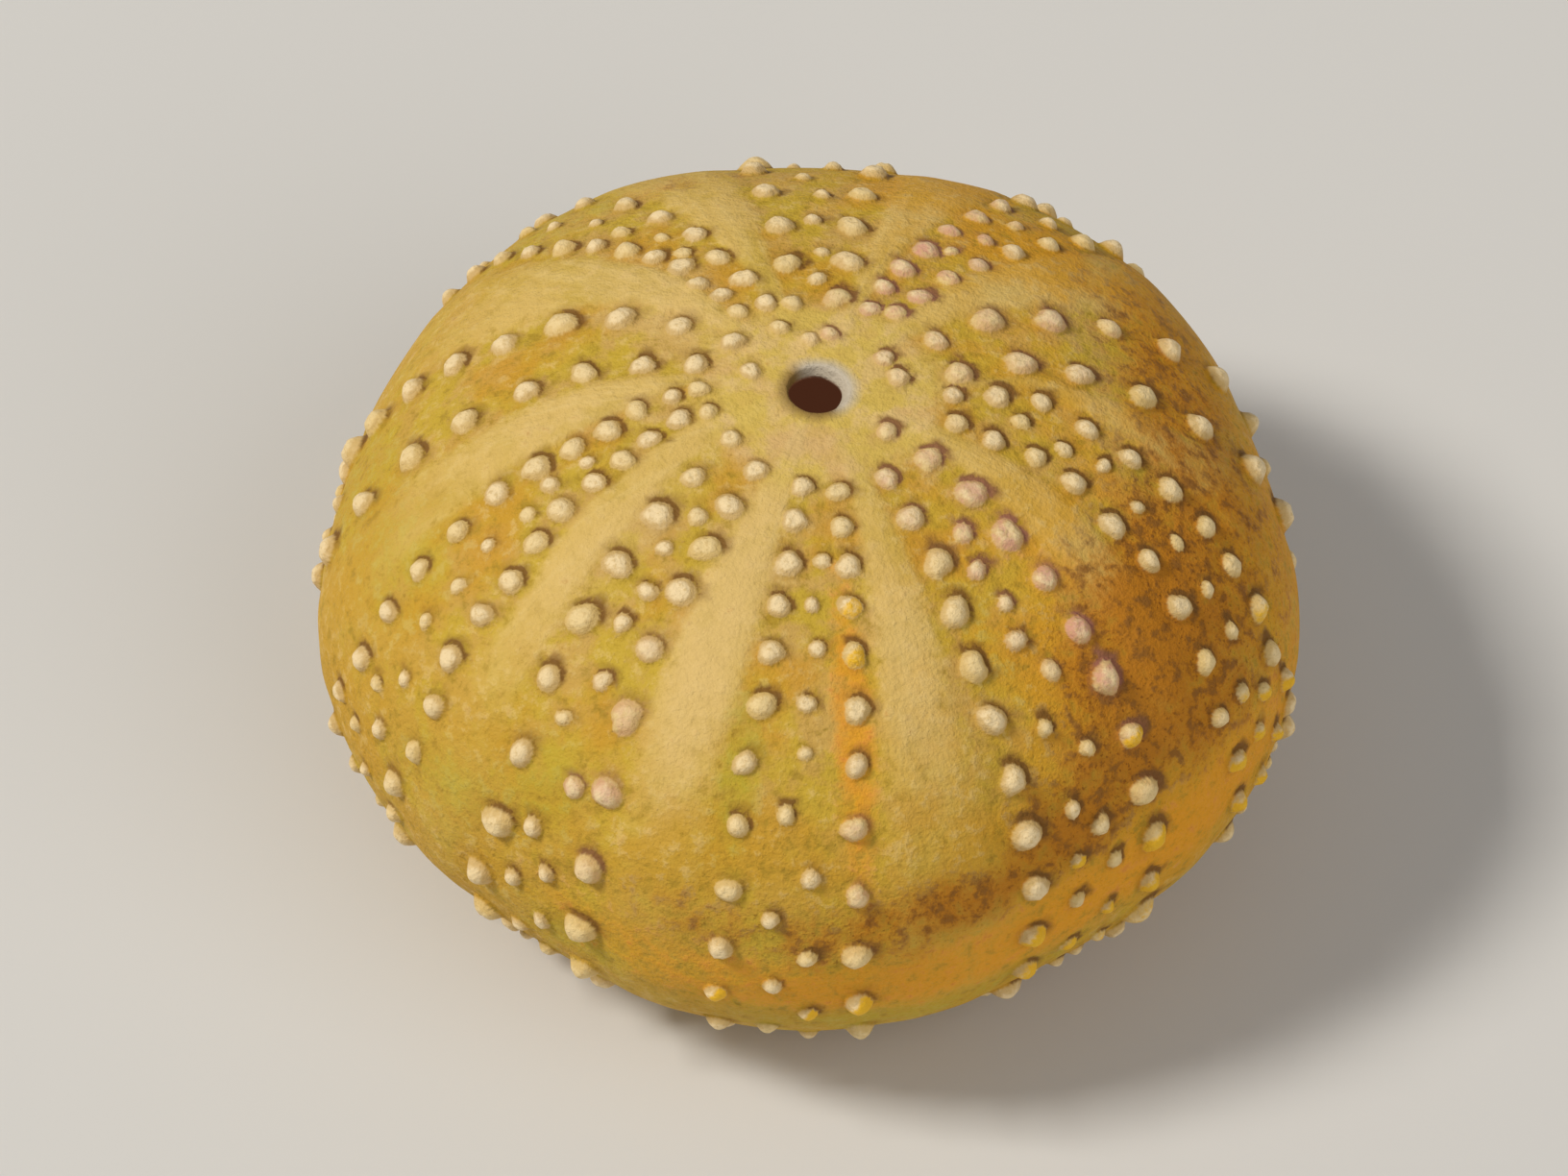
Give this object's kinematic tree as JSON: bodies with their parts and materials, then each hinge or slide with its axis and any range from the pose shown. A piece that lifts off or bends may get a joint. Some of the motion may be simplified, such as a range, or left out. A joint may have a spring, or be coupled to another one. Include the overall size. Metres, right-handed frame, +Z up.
{
  "type": "sea urchin shell",
  "caption": "Hollow domed shell of a sea urchin, with double rows of small round knobs, a small opening at the top and a wide mouth underneath.",
  "frame": {"origin": "middle of the footprint, on the plane that the shell rests on; the shell's own axis passes within 0.5 mm of it", "axes": "+Z up through the apex opening; -Y towards the double row of smaller knobs that faces the viewer"},
  "size_m": [0.0668, 0.0664, 0.0366],
  "materials": {
    "chalky_shell": "matte, olive-yellow with cream knobs"
  },
  "bodies": {
    "root": {"test": "chalky_shell"}
  },
  "joints": []
}
